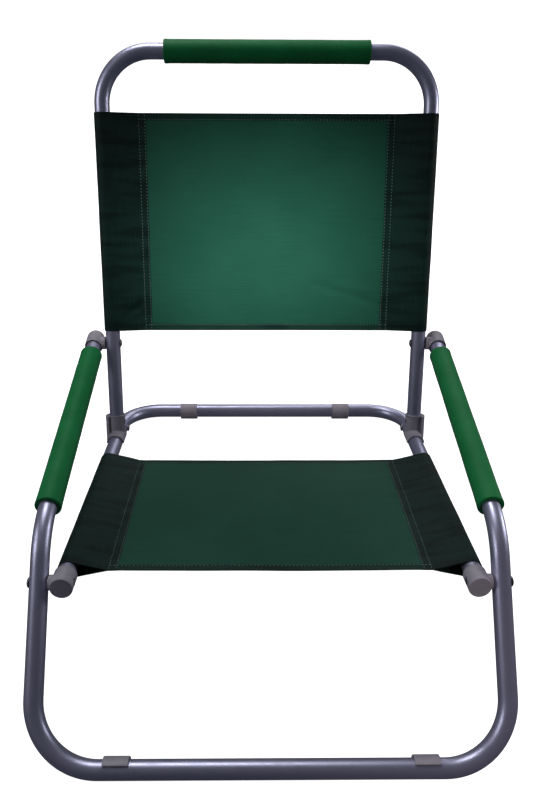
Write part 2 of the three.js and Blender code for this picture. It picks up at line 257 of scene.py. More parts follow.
def frame_paint():
    """Satin silver-grey powder coat with a fine orange peel, metal flake and faint rub marks."""
    shader = Shader("frame_paint", Metallic=0.78, Coat_Weight=0.18, Coat_Roughness=0.3)
    place = shader.place()
    peel = shader.noise(place, 700.0, 2.0)
    flake = shader.noise(place, 5200.0, 1.0)
    rubbed = shader.noise(place, 42.0, 5.0, 0.62)
    colour = shader.tint(flake, 0.3, 0.7, PAINT_DARK, PAINT_LIGHT)
    colour = shader.tint(rubbed, 0.55, 0.8, colour, PAINT_RUBBED, most=0.35)
    rough = shader.fit(rubbed, 0.34, 0.46, 0.3, 0.75)
    normal = shader.bump(peel, 0.22, 0.0004)
    return shader.finish(Base_Color=colour, Roughness=rough, Normal=normal)


def moulded_plastic():
    """Warm grey moulded plastic with a fine spark-eroded grain and slight colour drift."""
    shader = Shader("moulded_plastic", Metallic=0.0)
    place = shader.place()
    grain = shader.noise(place, 2600.0, 2.0)
    drift = shader.noise(place, 60.0, 4.0)
    colour = shader.tint(drift, 0.3, 0.7, PLASTIC_DARK, PLASTIC_LIGHT)
    rough = shader.fit(grain, 0.42, 0.58, 0.3, 0.7)
    return shader.finish(Base_Color=colour, Roughness=rough, Normal=shader.bump(grain, 0.25, 0.00025))


def grip_foam():
    """Green closed-cell foam tube: a dull skin over small cells, a little paler where hands rub it."""
    shader = Shader(
        "grip_foam",
        Metallic=0.0,
        Specular_IOR_Level=0.2,
        Sheen_Weight=0.03,
        Sheen_Roughness=0.5,
    )
    place = shader.place()
    cells = shader.add("ShaderNodeTexVoronoi", Vector=place, Scale=1150.0).outputs["Distance"]
    skin = shader.noise(place, 330.0, 3.0)
    wear = shader.noise(place, 26.0, 4.0)
    colour = shader.tint(wear, 0.35, 0.7, FOAM_DARK, FOAM_LIGHT)
    colour = shader.mix(shader.fit(cells, 0.35, 0.0, 0.0, 0.35), colour, FOAM_PORE)
    normal = shader.bump(cells, 0.35, 0.0003)
    normal = shader.bump(skin, 0.25, 0.0006, normal)
    rough = shader.fit(skin, 0.5, 0.66, 0.3, 0.7)
    return shader.finish(Base_Color=colour, Roughness=rough, Normal=normal)


def oxford_cloth():
    """Dark green coated oxford weave, with painted shade where the cloth lies double and more painted shade
    in the folds there.
    """
    shader = Shader(
        "oxford_cloth",
        Metallic=0.0,
        Specular_IOR_Level=0.18,
        Sheen_Weight=0.03,
        Sheen_Roughness=0.45,
    )
    flat = shader.place("UV")
    wave = {"wave_type": "BANDS", "wave_profile": "SIN"}
    turns = 2 * math.pi / 20 / WEAVE_PITCH
    warp = shader.add("ShaderNodeTexWave", {**wave, "bands_direction": "X"}, Vector=flat, Scale=turns)
    weft = shader.add("ShaderNodeTexWave", {**wave, "bands_direction": "Y"}, Vector=flat, Scale=turns)
    weave = shader.math("MULTIPLY", warp.outputs["Fac"], weft.outputs["Fac"])
    ribs = shader.noise(shader.stretched(flat, (14.0, 900.0, 1.0)), 1.0, 2.0)
    slubs = shader.noise(shader.stretched(flat, (900.0, 22.0, 1.0)), 1.0, 2.0)
    drift = shader.noise(flat, 9.0, 4.0, 0.6)
    double_layer_shade = shader.add("ShaderNodeAttribute", {"attribute_name": "double_layer_shade"}).outputs["Fac"]
    colour = shader.tint(drift, 0.3, 0.7, CLOTH_DARK, CLOTH_LIGHT)
    # Painted shade: cloth that lies double is darkened, standing in for the light that shines through the
    # single panel but not through the sleeves, seams and hems.
    colour = shader.mix(double_layer_shade, colour, CLOTH_DOUBLE_SHADE)
    # Painted shade in folds: streaky noise along the tubes darkens the doubled cloth further.
    fold_shade_noise = shader.noise(shader.stretched(flat, (9.0, 58.0, 1.0)), 1.0, 3.0)
    painted_fold_shade = shader.math("MULTIPLY", shader.fit(fold_shade_noise, 0.0, 0.85, 0.46, 0.6), double_layer_shade)
    colour = shader.mix(painted_fold_shade, colour, CLOTH_FOLD_SHADE)
    colour = shader.tint(ribs, 0.5, 0.75, colour, CLOTH_RIB, most=0.35)
    colour = shader.tint(slubs, 0.55, 0.8, colour, CLOTH_SLUB, most=0.2)
    colour = shader.mix(shader.fit(weave, 0.4, 0.0, 0.0, 0.5), colour, CLOTH_GAP)
    normal = shader.bump(weave, 0.3, 0.0002)
    normal = shader.bump(ribs, 0.18, 0.0002, normal)
    return shader.finish(Base_Color=colour, Roughness=shader.fit(weave, 0.72, 0.55), Normal=normal)


def sewing_thread():
    """Grey-green polyester thread with its twist."""
    shader = Shader("sewing_thread", Metallic=0.0, Sheen_Weight=0.2, Sheen_Roughness=0.4)
    place = shader.place()
    twist = shader.noise(place, 3000.0, 2.0)
    colour = shader.mix(twist, THREAD_DARK, THREAD_LIGHT)
    rough = shader.fit(twist, 0.45, 0.65)
    return shader.finish(Base_Color=colour, Roughness=rough, Normal=shader.bump(twist, 0.4, 0.0001))


def rivet_metal():
    """Zinc-plated steel, dulled, with fine setting marks."""
    shader = Shader("rivet_metal", Metallic=1.0)
    place = shader.place()
    marks = shader.noise(place, 1900.0, 4.0, 0.6)
    dull = shader.noise(place, 260.0, 3.0)
    colour = shader.tint(dull, 0.3, 0.7, ZINC_DARK, ZINC_LIGHT)
    rough = shader.fit(marks, 0.28, 0.5)
    return shader.finish(Base_Color=colour, Roughness=rough, Normal=shader.bump(marks, 0.2, 0.0002))


paint = frame_paint()
plastic = moulded_plastic()
foam = grip_foam()
cloth = oxford_cloth()
thread = sewing_thread()
zinc = rivet_metal()

# ---- Mesh building ----


def add_object(name, vertices, faces):
    mesh = bpy.data.meshes.new(name)
    mesh.from_pydata([tuple(v) for v in vertices], [], [tuple(f) for f in faces])
    mesh.update()
    made = bpy.data.objects.new(name, mesh)
    bpy.context.scene.collection.objects.link(made)
    return made


def facing_out(piece):
    """Turns a closed mesh's faces over if they point inwards."""
    solid = bmesh.new()
    solid.from_mesh(piece.data)
    if solid.calc_volume(signed=True) < 0:
        piece.data.flip_normals()
    solid.free()
    return piece


def smooth(piece, sharp_degrees):
    piece.data.shade_smooth()
    piece.data.set_sharp_from_angle(angle=math.radians(sharp_degrees))
    return piece


def dress(piece, material, body, slot_name, *nodes):
    """Gives a finished piece its material and its body, and hides the CAD nodes that it stands for. Its
    slot_name is not used.
    """
    piece.data.materials.clear()
    piece.data.materials.append(material)
    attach(piece, body)
    if nodes:
        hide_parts(*nodes)
    return piece


def ring(centre, direction, radius, count, across):
    """Points of a circle about a centre, square to a direction, starting on the across side."""
    up = direction.cross(across).normalized()
    turns = [2 * math.pi * i / count for i in range(count)]
    return [centre + across * radius * math.cos(t) + up * radius * math.sin(t) for t in turns]


def loft(name, rings, joined=False):
    """A closed mesh through rings of equal count: its ends are closed, or its last ring meets its first."""
    count = len(rings[0])
    vertices = [v for one in rings for v in one]
    faces = []
    pairs = len(rings) if joined else len(rings) - 1
    for i in range(pairs):
        low, high = i * count, ((i + 1) % len(rings)) * count
        for j in range(count):
            k = (j + 1) % count
            faces.append((low + j, low + k, high + k, high + j))
    if not joined:
        last = (len(rings) - 1) * count
        faces.append(tuple(reversed(range(count))))
        faces.append(tuple(range(last, last + count)))
    return facing_out(add_object(name, vertices, faces))


def bent_path(start, corners, end, run_step=0.014, bend_step=4.0):
    """(place, direction) pairs along straight runs joined by round bends; corners are (place, radius)."""
    path = []

    def run(a, b):
        steps = max(1, round((b - a).length / run_step))
        path.extend((a.lerp(b, i / steps), (b - a).normalized()) for i in range(steps))

    here, previous = start, start
    for i, (corner, radius) in enumerate(corners):
        following = corners[i + 1][0] if i + 1 < len(corners) else end
        inward = (corner - previous).normalized()
        outward = (following - corner).normalized()
        turn = inward.angle(outward)
        bend_start = corner - inward * radius * math.tan(turn / 2)
        side = (outward - inward * outward.dot(inward)).normalized()
        run(here, bend_start)
        steps = max(4, round(math.degrees(turn) / bend_step))
        for step in range(steps + 1):
            angle = turn * step / steps
            place = bend_start + inward * radius * math.sin(angle) + side * radius * (1 - math.cos(angle))
            path.append((place, inward * math.cos(angle) + side * math.sin(angle)))
        here, previous = path.pop()[0], corner
    run(here, end)
    path.append((end, (end - here).normalized()))
    return path


def bent_tube(name, path, count=48):
    """A steel tube along a path, its cut ends lightly rounded and bored."""
    bore_depth = 0.012
    edge = 0.0004
    (first, first_way), (last, last_way) = path[0], path[-1]
    stations = [
        (first + first_way * bore_depth, first_way, TUBE_BORE),
        (first, first_way, TUBE_BORE),
        (first, first_way, TUBE_RADIUS - edge),
        (first + first_way * edge, first_way, TUBE_RADIUS),
        *[(place, way, TUBE_RADIUS) for place, way in path[1:-1]],
        (last - last_way * edge, last_way, TUBE_RADIUS),
        (last, last_way, TUBE_RADIUS - edge),
        (last, last_way, TUBE_BORE),
        (last - last_way * bore_depth, last_way, TUBE_BORE),
    ]
    across = first_way.cross(X_WAY).normalized()
    rings = []
    for place, way, radius in stations:
        across = (across - way * across.dot(way)).normalized()
        rings.append(ring(place, way, radius, count, across))
    return smooth(loft(name, rings), 50)


def turned(name, profile, origin, direction, count):
    """A lathed closed mesh: profile holds (radius, distance along the direction), from axis to axis."""
    direction = direction.normalized()
    across = direction.orthogonal().normalized()
    rings = []
    for radius, distance in profile:
        rings.append(ring(origin + direction * distance, direction, max(radius, 1e-6), count, across))
    return loft(name, rings)


def rod(origin, direction, start, end, radius, count=64):
    return turned("tool", [(radius, start), (radius, end)], origin, direction, count)


def boolean(body, tool, operation):
    cut = body.modifiers.new("cut", "BOOLEAN")
    cut.operation = operation
    cut.solver = "EXACT"
    cut.object = tool
    apply_modifiers(body)
    bpy.data.objects.remove(tool)


def apply_modifiers(piece):
    graph = bpy.context.evaluated_depsgraph_get()
    finished = bpy.data.meshes.new_from_object(piece.evaluated_get(graph))
    piece.modifiers.clear()
    old = piece.data
    piece.data = finished
    bpy.data.meshes.remove(old)


def moulded(name, solids, cuts, voxel=0.00055, rounds=5):
    """One moulded body: solids joined, cuts taken out, and every edge softened as a mould leaves it."""
    body = solids[0]
    body.name = name
    for solid in solids[1:]:
        boolean(body, solid, "UNION")
    for tool in cuts:
        boolean(body, tool, "DIFFERENCE")
    remesh = body.modifiers.new("remesh", "REMESH")
    remesh.mode = "VOXEL"
    remesh.voxel_size = voxel
    soften = body.modifiers.new("soften", "SMOOTH")
    soften.factor = 0.5
    soften.iterations = rounds
    apply_modifiers(body)
    body.data.name = name
    body.data.shade_smooth()
    return body


# ---- Tube frames ----


def tube_frames():
    foot = along(back_pivot, -BACK_TUBE_DOWN, UPRIGHT_ANGLE)
    top = along(back_pivot, BACK_TOP_UP, UPRIGHT_ANGLE)
    back = bent_path(
        point(-BACK_HALF_WIDTH, foot),
        [(point(x, top), BACK_CORNER_RADIUS) for x in (-BACK_HALF_WIDTH, BACK_HALF_WIDTH)],
        point(BACK_HALF_WIDTH, foot),
    )
    dress(bent_tube("back_tube", back), paint, "back_frame", "frame_steel", "back_frame_tube")

    arm_end = along(back_pivot, ARM_CAP["bore_end"] - FIT_GAP, arm_angle)
    arm_leg = bent_path(
        point(-ARM_END_HALF_WIDTH, arm_end),
        [
            (point(-LEG_HALF_WIDTH, knee), KNEE_RADIUS),
            (point(-LEG_HALF_WIDTH, front_bar), FRONT_CORNER_RADIUS),
            (point(LEG_HALF_WIDTH, front_bar), FRONT_CORNER_RADIUS),
            (point(LEG_HALF_WIDTH, knee), KNEE_RADIUS),
        ],
        point(ARM_END_HALF_WIDTH, arm_end),
    )
    dress(bent_tube("arm_leg_tube", arm_leg), paint, "arm_leg_frame", "frame_steel", "arm_leg_frame_tube")

    rail_front = along(seat_pivot, FIT_GAP - SEAT_CAP["bore_end"], rail_angle)
    seat = bent_path(
        point(-SEAT_HALF_WIDTH, rail_front),
        [(point(x, rear_bar), REAR_CORNER_RADIUS) for x in (-SEAT_HALF_WIDTH, SEAT_HALF_WIDTH)],
        point(SEAT_HALF_WIDTH, rail_front),
    )
    dress(bent_tube("seat_tube", seat), paint, "seat_frame", "frame_steel", "seat_frame_tube")


# ---- Foam grips ----


def foam_sleeve(name, start, end):
    """A push-on foam tube with soft, slightly flared and uneven ends."""
    length = (end - start).length
    wall_in = TUBE_RADIUS + 0.00012
    bevel = 0.0008
    edge = 0.0013
    edge_steps = 4
    plain_from = 0.003
    ring_step = 0.0022
    flare = 0.0003
    flare_length = 0.007
    outer_side = wall_in + 0.001
    outline = [(wall_in, bevel), (wall_in + bevel, 0.0)]
    for step in range(edge_steps + 1):
        turn = math.radians(90 * step / edge_steps)
        outline.append((FOAM_RADIUS - edge + edge * math.sin(turn), edge - edge * math.cos(turn)))
    middle = [(FOAM_RADIUS, s) for s in np.arange(plain_from, length - plain_from, ring_step)]
    profile = outline + middle + [(r, length - s) for r, s in reversed(outline)]
    direction = (end - start).normalized()
    across = direction.orthogonal().normalized()
    rings = []
    for radius, distance in profile:
        from_end = min(distance, length - distance)
        swell = flare * math.exp(-((from_end / flare_length) ** 2)) if radius > outer_side else 0.0
        rings.append(ring(start + direction * distance, direction, radius + swell, 64, across))
    sleeve = loft(name, rings, joined=True)
    for vertex in sleeve.data.vertices:
        offset = vertex.co - start
        out = offset - direction * offset.dot(direction)
        if out.length > outer_side:
            broad = noise.noise(vertex.co * 38) * 0.0002
            small = noise.noise(vertex.co * 210) * 0.00009
            vertex.co += out.normalized() * (broad + small)
    return smooth(sleeve, 60)


def foam_grips():
    top = along(back_pivot, BACK_TOP_UP, UPRIGHT_ANGLE)
    grip = foam_sleeve("top_grip", point(-GRIP_HALF_LENGTH, top), point(GRIP_HALF_LENGTH, top))
    dress(grip, foam, "back_frame", "grip_foam", "top_grip_foam")
    arm_run = math.hypot(back_pivot[0] - knee[0], back_pivot[1] - knee[1])
    toe_in = (ARM_END_HALF_WIDTH - LEG_HALF_WIDTH) / arm_run
    for side, sign in SIDES:
        ends = [
            point(sign * (ARM_END_HALF_WIDTH - toe_in * down), along(back_pivot, -down, arm_angle))
            for down in ARM_FOAM
        ]
        sleeve = foam_sleeve(f"{side}_arm_grip", *ends)
        dress(sleeve, foam, "arm_leg_frame", "grip_foam", f"{side}_arm_foam")


# ---- Moulded fittings ----


def cap_solids(origin, direction, sizes, boss_reach):
    """The turned body of an end cap and the boss that stands off towards its neighbour."""
    rim = 0.0008
    nose_round = sizes["round"]
    nose_steps = 8
    profile = [(0.0, -sizes["nose"])]
    for step in range(nose_steps + 1):
        turn = math.radians(90 * step / nose_steps)
        profile.append(
            (
                sizes["radius"] - nose_round + nose_round * math.sin(turn),
                -sizes["nose"] + nose_round - nose_round * math.cos(turn),
            )
        )
    profile += [(sizes["radius"], sizes["mouth"] - rim), (sizes["radius"] - rim, sizes["mouth"])]
    body = turned("cap", profile, origin, direction, 72)
    boss = rod(origin, X_WAY, 0.0, boss_reach, sizes["boss"])
    return [body, boss]


def cap_cuts(origin, direction, sizes, recess_sign):
    """The tube's bore, wider towards its mouth, the rivet's hole and the recess for its small head."""
    flare_depth = 0.009
    hole_reach = 0.04
    recess_reach = 0.03
    past_mouth = sizes["mouth"] + 0.002
    bore = rod(origin, direction, -sizes["bore_end"], past_mouth, SLEEVE_BORE)
    flare = rod(origin, direction, sizes["mouth"] - flare_depth, past_mouth, SLEEVE_BORE + sizes["flare"])
    pin = rod(origin, X_WAY, -hole_reach, hole_reach, SHANK_RADIUS + FIT_GAP, 32)
    recess_at = recess_sign * (sizes["radius"] - CAP_RECESS)
    recess = rod(origin, X_WAY, recess_at, recess_sign * recess_reach, SMALL_HOLE, 40)
    return [bore, flare, pin, recess]


def end_caps():
    arm_way = -way_at(arm_angle)
    rail_way = way_at(rail_angle)
    for side, sign in SIDES:
        origin = point(sign * ARM_END_HALF_WIDTH, back_pivot)
        reach = ARM_END_HALF_WIDTH - BACK_HALF_WIDTH - TUBE_RADIUS - FIT_GAP
        cap = moulded(
            f"{side}_arm_end_cap",
            cap_solids(origin, arm_way, ARM_CAP, -sign * reach),
            cap_cuts(origin, arm_way, ARM_CAP, sign),
        )
        dress(cap, plastic, "arm_leg_frame", "grey_plastic", f"{side}_arm_cap")

        origin = point(sign * SEAT_HALF_WIDTH, seat_pivot)
        reach = LEG_HALF_WIDTH - TUBE_RADIUS - FIT_GAP - SEAT_HALF_WIDTH
        cap = moulded(
            f"{side}_rail_end_cap",
            cap_solids(origin, rail_way, SEAT_CAP, sign * reach),
            cap_cuts(origin, rail_way, SEAT_CAP, -sign),
        )
        dress(cap, plastic, "seat_frame", "grey_plastic", f"{side}_seat_cap")


def lipped_sleeve(name, radius, start, end, origin, direction):
    """A plain sleeve with a raised lip round its start."""
    lip, lip_height = 0.0005, 0.0022
    profile = [
        (radius + lip, start),
        (radius + lip, start + lip_height),
        (radius, start + lip_height + lip),
        (radius, end),
    ]
    return turned(name, profile, origin, direction, 80)


def saddles():
    """Sleeves on the upright's feet that run into a hood over the seat rail, with a wing outside it."""
    down = -way_at(UPRIGHT_ANGLE)
    rail_way = way_at(rail_angle)
    rail_up = X_WAY.cross(rail_way)
    hood_start, hood_end = SADDLE_HOOD["along_rail"]
    wing_start, wing_end = SADDLE_WING["along"]
    waste = 0.1
    wing_waste, wing_middle = 0.3, 0.12
    bore_from, bore_to = 0.1, BACK_TUBE_DOWN + 0.001
    clear = 0.03
    for side, sign in SIDES:
        upright = point(sign * BACK_HALF_WIDTH, back_pivot)
        rail = point(sign * SEAT_HALF_WIDTH, seat_pivot)
        sleeve = lipped_sleeve("saddle", SADDLE_RADIUS, SADDLE_FROM, wing_end, upright, down)
        hood = lipped_sleeve("hood", SADDLE_HOOD["radius"], hood_start, hood_end, rail, rail_way)
        boolean(sleeve, hood, "UNION")
        under = rail + rail_way * RAIL_PASSAGE["middle"] - rail_up * (waste / 2)
        below_rail = oriented_box(under, (X_WAY, rail_way, rail_up), (waste, 2 * waste, waste))
        boolean(sleeve, below_rail, "DIFFERENCE")
        rail_bore = rod(rail, rail_way, *RAIL_PASSAGE["along_rail"], RAIL_PASSAGE["radius"])
        boolean(sleeve, rail_bore, "DIFFERENCE")

        axis = upright + X_WAY * (sign * SADDLE_WING["offset"])
        wing = rod(axis, down, wing_start, wing_end, SADDLE_WING["radius"], 80)
        inside = sign * (SADDLE_WING["from_x"] - waste / 2)
        box_middle = Vector((inside, upright.y, upright.z - wing_middle))
        keep_out = box_tool(box_middle, (waste, wing_waste, wing_waste))
        boolean(wing, keep_out, "DIFFERENCE")

        pin_place = point(sign * BACK_HALF_WIDTH, saddle_rivet_place)
        bore = rod(upright, down, bore_from, bore_to, SLEEVE_BORE)
        pin = rod(pin_place, X_WAY, -clear, clear, SHANK_RADIUS + FIT_GAP, 32)
        recesses = [
            rod(pin_place, X_WAY, sign * SADDLE_OUTER_SEAT, sign * clear, SMALL_HOLE, 40),
            rod(pin_place, X_WAY, -sign * SADDLE_INNER_SEAT, -sign * clear, SMALL_HOLE, 40),
        ]
        piece = moulded(f"{side}_rail_saddle", [sleeve, wing], [bore, pin, *recesses])
        dress(piece, plastic, "back_frame", "grey_plastic", f"{side}_back_saddle")


def foot_clips():
    """Snap-on clips round the cross bars, each open on one side, with a flat sole on the floor."""
    gap_from = math.radians(100)
    reach = 0.03
    sole_depth = 0.02
    for end, clip, bar, body_name in (
        ("front", FRONT_CLIP, front_bar, "arm_leg_frame"),
        ("rear", REAR_CLIP, rear_bar, "seat_frame"),
    ):
        wedge = [(0.0, 0.0)]
        for turn in (gap_from, math.pi, 2 * math.pi - gap_from):
            wedge.append((math.cos(turn) * clip["facing"] * reach * 2, math.sin(turn) * reach * 2))
        length = clip["half_length"]
        for side, sign in SIDES:
            centre = point(sign * clip["x"], bar)
            body = rod(centre, X_WAY, -length, length, CLIP_RADIUS, 96)
            bore = rod(centre, X_WAY, -reach, reach, SLEEVE_BORE, 96)
            gap = loft("tool", [[centre + Vector((x, y, z)) for y, z in wedge] for x in (-reach, reach)])
            below = centre - Vector((0, 0, BAR_HEIGHT + sole_depth / 2))
            sole = box_tool(below, (reach * 2, reach * 2, sole_depth))
            piece = moulded(f"{side}_{end}_clip", [body], [bore, gap, sole], rounds=3)
            dress(piece, plastic, body_name, "grey_plastic", f"{side}_{end}_foot_clip")


def oriented_box(centre, axes, size):
    """A box about a centre with its sides along three square axes."""
    x_way, y_way, z_way = (axis * length / 2 for axis, length in zip(axes, size))
    rings = [[centre + x_way * x + y_way * y + z_way * z for x, y in SQUARE] for z in (-1, 1)]
    return loft("tool", rings)


def box_tool(centre, size):
    return oriented_box(centre, (X_WAY, Vector((0, 1, 0)), Vector((0, 0, 1))), size)


def rivet(name, place, sign, faces, heads):
    """A set rivet across X: faces are where its two heads bear, and heads their (radius, height)."""
    (outer_face, inner_face), (outer, inner) = faces, heads

    def dome(face, head, way):
        radius, height = head
        under_rim, rim_share, dome_share = 0.985, 0.18, 0.82
        steps = 7
        made = [(radius * under_rim, face), (radius, face + way * height * rim_share)]
        for step in range(1, steps + 1):
            turn = math.radians(90 * step / steps)
            rise = height * (rim_share + dome_share * math.sin(turn))
            made.append((max(radius * math.cos(turn), 1e-5), face + way * rise))
        return made

    profile = list(reversed(dome(outer_face, outer, 1)))
    profile += [(SHANK_RADIUS, outer_face), (SHANK_RADIUS, inner_face)]
    profile += dome(inner_face, inner, -1)
    return smooth(turned(name, profile, point(0, place), X_WAY * sign, 40), 45)


def rivets():
    flush = (SHANK_RADIUS, 0.0003)
    sunk = 0.0004
    for side, sign in SIDES:
        arm = rivet(
            f"{side}_arm_rivet",
            back_pivot,
            sign,
            (ARM_END_HALF_WIDTH + ARM_CAP["radius"] - CAP_RECESS, BACK_HALF_WIDTH - TUBE_RADIUS),
            (SMALL_HEAD, BIG_HEAD),
        )
        dress(arm, zinc, "arm_leg_frame", "rivet_steel", f"{side}_arm_pivot_rivet")
        seat = rivet(
            f"{side}_seat_rivet",
            seat_pivot,
            sign,
            (LEG_HALF_WIDTH + TUBE_RADIUS, SEAT_HALF_WIDTH - SEAT_CAP["radius"] + CAP_RECESS),
            (BIG_HEAD, SMALL_HEAD),
        )
        dress(seat, zinc, "arm_leg_frame", "rivet_steel", f"{side}_seat_pivot_rivet")
        held = rivet(
            f"{side}_saddle_pin",
            saddle_rivet_place,
            sign,
            (BACK_HALF_WIDTH + SADDLE_OUTER_SEAT, BACK_HALF_WIDTH - SADDLE_INNER_SEAT),
            (SMALL_HEAD, SMALL_HEAD),
        )
        dress(held, zinc, "back_frame", "rivet_steel", f"{side}_saddle_rivet")
        stop = rivet(
            f"{side}_rail_stop_pin",
            rail_pin_place,
            sign,
            (SEAT_HALF_WIDTH + TUBE_RADIUS - sunk, SEAT_HALF_WIDTH - TUBE_RADIUS),
            (flush, BIG_HEAD),
        )
        dress(stop, zinc, "seat_frame", "rivet_steel", f"{side}_rail_pin")


# ---- Slings ----

BACK_SEAM = 0.188
SEAT_SEAM = 0.192
CLOTH_THICKNESS = 0.0008
HEM_WIDTH = 0.010
HEM_STEP = 0.0008
HEM_LAYER = 0.85 * CLOTH_THICKNESS
SEAM_LAP = 0.012
SEAM_LAYER = 1.05 * CLOTH_THICKNESS
SLEEVE_TIGHT = 0.008

STITCH_PITCH = 0.0046
STITCH_LENGTH = 0.0021
STITCH_RADIUS = 0.00046
STITCH_ROWS = (0.0012, SEAM_LAP - 0.0022)
STITCH_MARGIN = 0.0015
STITCH_DRIFT = 0.00012
STITCH_SKEW = 0.09

# Mesh steps in metres, apart from the flank's, a share of its length, and the wrap's, an angle.
PANEL_STEP = 0.004
SEAM_STEP = 0.001
SEAM_ZONE = 0.016
FLANK_STEP = 0.09
WRAP_STEP = math.radians(7)
LAP_STEP = 0.0015
ROW_STEP = 0.0035
HEM_ROW_STEP = 0.0008

# Unevenness: heights, and waves per metre across and along, with the layer of noise they come from.
# Puckers lie inside the seam, and gathers outside it.
PUCKER_HEIGHT, PUCKER_WAVES = 0.00035, (60, 170, 3.0)
PUCKER_INSIDE, PUCKER_WIDTH = 0.005, 0.011
GATHER_WAVES = (11, 50, 9.0)
GATHER_OUTSIDE, GATHER_WIDTH = 0.012, 0.024
BROAD_HEIGHT, BROAD_WAVES = 0.0011, (9, 13, 7.0)
SMALL_HEIGHT, SMALL_WAVES = 0.00035, (22, 48, 1.0)
SLEEVE_SWELL, SLEEVE_HEIGHT = 0.0001, 0.0003


def waves(x, v, across, along_tube, layer):
    return noise.noise(Vector((x * across, v * along_tube, layer)))


def hill(distance, width):
    """1 at no distance, falling away smoothly over a width."""
    return math.exp(-((distance / width) ** 2))


def clamped(value):
    return min(1.0, max(0.0, value))


def spread(start, end, step):
    """Numbers from start to just short of end, about a step apart."""
    count = max(1, round(abs(end - start) / step))
    return [start + (end - start) * i / count for i in range(count)]


class Sling:
    """A cloth panel between two parallel tubes, its edges folded round them and sewn back on themselves.

    A place on it is (x, v, n): across, along the tubes from the pivot, and out on the sitter's side.
    """

    def __init__(self, name, pivot, angle, half_width, seam, run, sag, gather, creases):
        self.name, self.half_width, self.seam, self.run = name, half_width, seam, run
        self.sag, self.gather, self.creases = sag, gather, creases
        self.origin = point(0, pivot)
        self.way = way_at(angle)
        self.out = X_WAY.cross(self.way)

    def place(self, x, v, n):
        return self.origin + Vector((x, 0, 0)) + self.way * v + self.out * n

    def relief(self, x, v):
        """How far the panel stands off its plane: its sag, creases, seam puckers and slight unevenness."""
        reach = min(1.0, abs(x) / self.seam)
        share = (v - self.run[0]) / (self.run[1] - self.run[0])
        ends = 1 - 0.35 * (2 * share - 1) ** 2
        height = -self.sag * (1 - reach**2) * ends
        for (x1, v1), (x2, v2), width, depth in self.creases:
            length2 = (x2 - x1) ** 2 + (v2 - v1) ** 2
            t = ((x - x1) * (x2 - x1) + (v - v1) * (v2 - v1)) / length2
            near = clamped(t)
            gap = math.hypot(x - x1 - near * (x2 - x1), v - v1 - near * (v2 - v1))
            fade = math.sin(math.pi * clamped((t + 0.15) / 1.3))
            height += depth * hill(gap, width) * (0.25 + 0.75 * fade)
        beside_seam = hill(abs(x) - self.seam + PUCKER_INSIDE, PUCKER_WIDTH)
        gathered = hill(abs(x) - self.seam - GATHER_OUTSIDE, GATHER_WIDTH)
        height += beside_seam * PUCKER_HEIGHT * waves(x, v, *PUCKER_WAVES)
        height += gathered * self.gather * waves(x, v, *GATHER_WAVES)
        height += BROAD_HEIGHT * waves(x, v, *BROAD_WAVES) * (1 - 0.6 * reach)
        height += SMALL_HEIGHT * waves(x, v, *SMALL_WAVES)
        return height

    def section(self):
        """(x, n) along the cloth's middle, from one folded edge round both tubes to the other."""
        radius = SLEEVE_BORE + CLOTH_THICKNESS / 2
        gap = self.half_width - self.seam
        lean = math.acos(radius / gap)
        top = math.pi - lean
        under = -SEAM_LAYER
        tangent = (self.half_width + radius * math.cos(top), radius * math.sin(top))
        right = [(x, 0.0) for x in spread(0.0, self.seam - SEAM_ZONE, PANEL_STEP)]
        right += [(x, 0.0) for x in spread(self.seam - SEAM_ZONE, self.seam, SEAM_STEP)]
        for share in spread(0.0, 1.0, FLANK_STEP):
            right.append((self.seam + share * (tangent[0] - self.seam), share * tangent[1]))
        for turn in spread(top, -top, WRAP_STEP):
            right.append((self.half_width + radius * math.cos(turn), radius * math.sin(turn)))
        for share in spread(1.0, 0.0, FLANK_STEP):
            n = share * -tangent[1] + (1 - share) * under
            right.append((self.seam + share * (tangent[0] - self.seam), n))
        right += [(x, under) for x in spread(self.seam, self.seam - SEAM_LAP, LAP_STEP)]
        right.append((self.seam - SEAM_LAP, under))
        left = [(-x, n) for x, n in reversed(right[1:])]
        return left + right

    def rows(self):
        start, end = self.run
        fine = HEM_WIDTH + 0.002
        return (
            spread(start, start + fine, HEM_ROW_STEP)
            + spread(start + fine, end - fine, ROW_STEP)
            + spread(end - fine, end, HEM_ROW_STEP)
            + [end]
        )

    def build(self):
        section, rows = self.section(), self.rows()
        steps = [math.dist(a, b) for a, b in zip(section, section[1:])]
        across = np.concatenate([[0.0], np.cumsum(steps)])
        self.flat_width = float(across[-1])
        across -= self.flat_width / 2
        middle = np.zeros((len(rows), len(section), 3))
        loose = self.half_width - SLEEVE_TIGHT
        for i, v in enumerate(rows):
            for j, (x, n) in enumerate(section):
                fade = clamped((loose - abs(x)) / (loose - self.seam))
                middle[i, j] = self.place(x, v, n + self.relief(x, v) * fade)
                if abs(x) > self.seam:
                    middle[i, j] += self.sleeve_wave(x, v, n)
        down_rows = np.gradient(middle, axis=0)
        along_section = np.gradient(middle, axis=1)
        normal = np.cross(along_section, down_rows)
        normal /= np.linalg.norm(normal, axis=2, keepdims=True)
        half = CLOTH_THICKNESS / 2
        hems = np.array([self.hem_depth(v) for v in rows])[:, None, None]
        front = middle + normal * half
        back = middle - normal * (half + hems)
        return self.shell(front, middle, back, across, rows, section)

    def hem_depth(self, v):
        """The extra layer of the folded hem, felt on the far side."""
        return HEM_LAYER * clamped((HEM_WIDTH - self.from_edge(v)) / HEM_STEP)

    def from_edge(self, v):
        return min(v - self.run[0], self.run[1] - v)

    def sleeve_wave(self, x, v, n):
        """The sleeve's own slight unevenness, only away from the tube."""
        out_x = x - math.copysign(self.half_width, x)
        swell = SLEEVE_SWELL + SLEEVE_HEIGHT * waves(x, v, 30, 24, n * 90 + 5.0)
        slack = max(0.0, swell) / math.hypot(out_x, n)
        return np.array(self.out * (n * slack)) + np.array((out_x * slack, 0.0, 0.0))

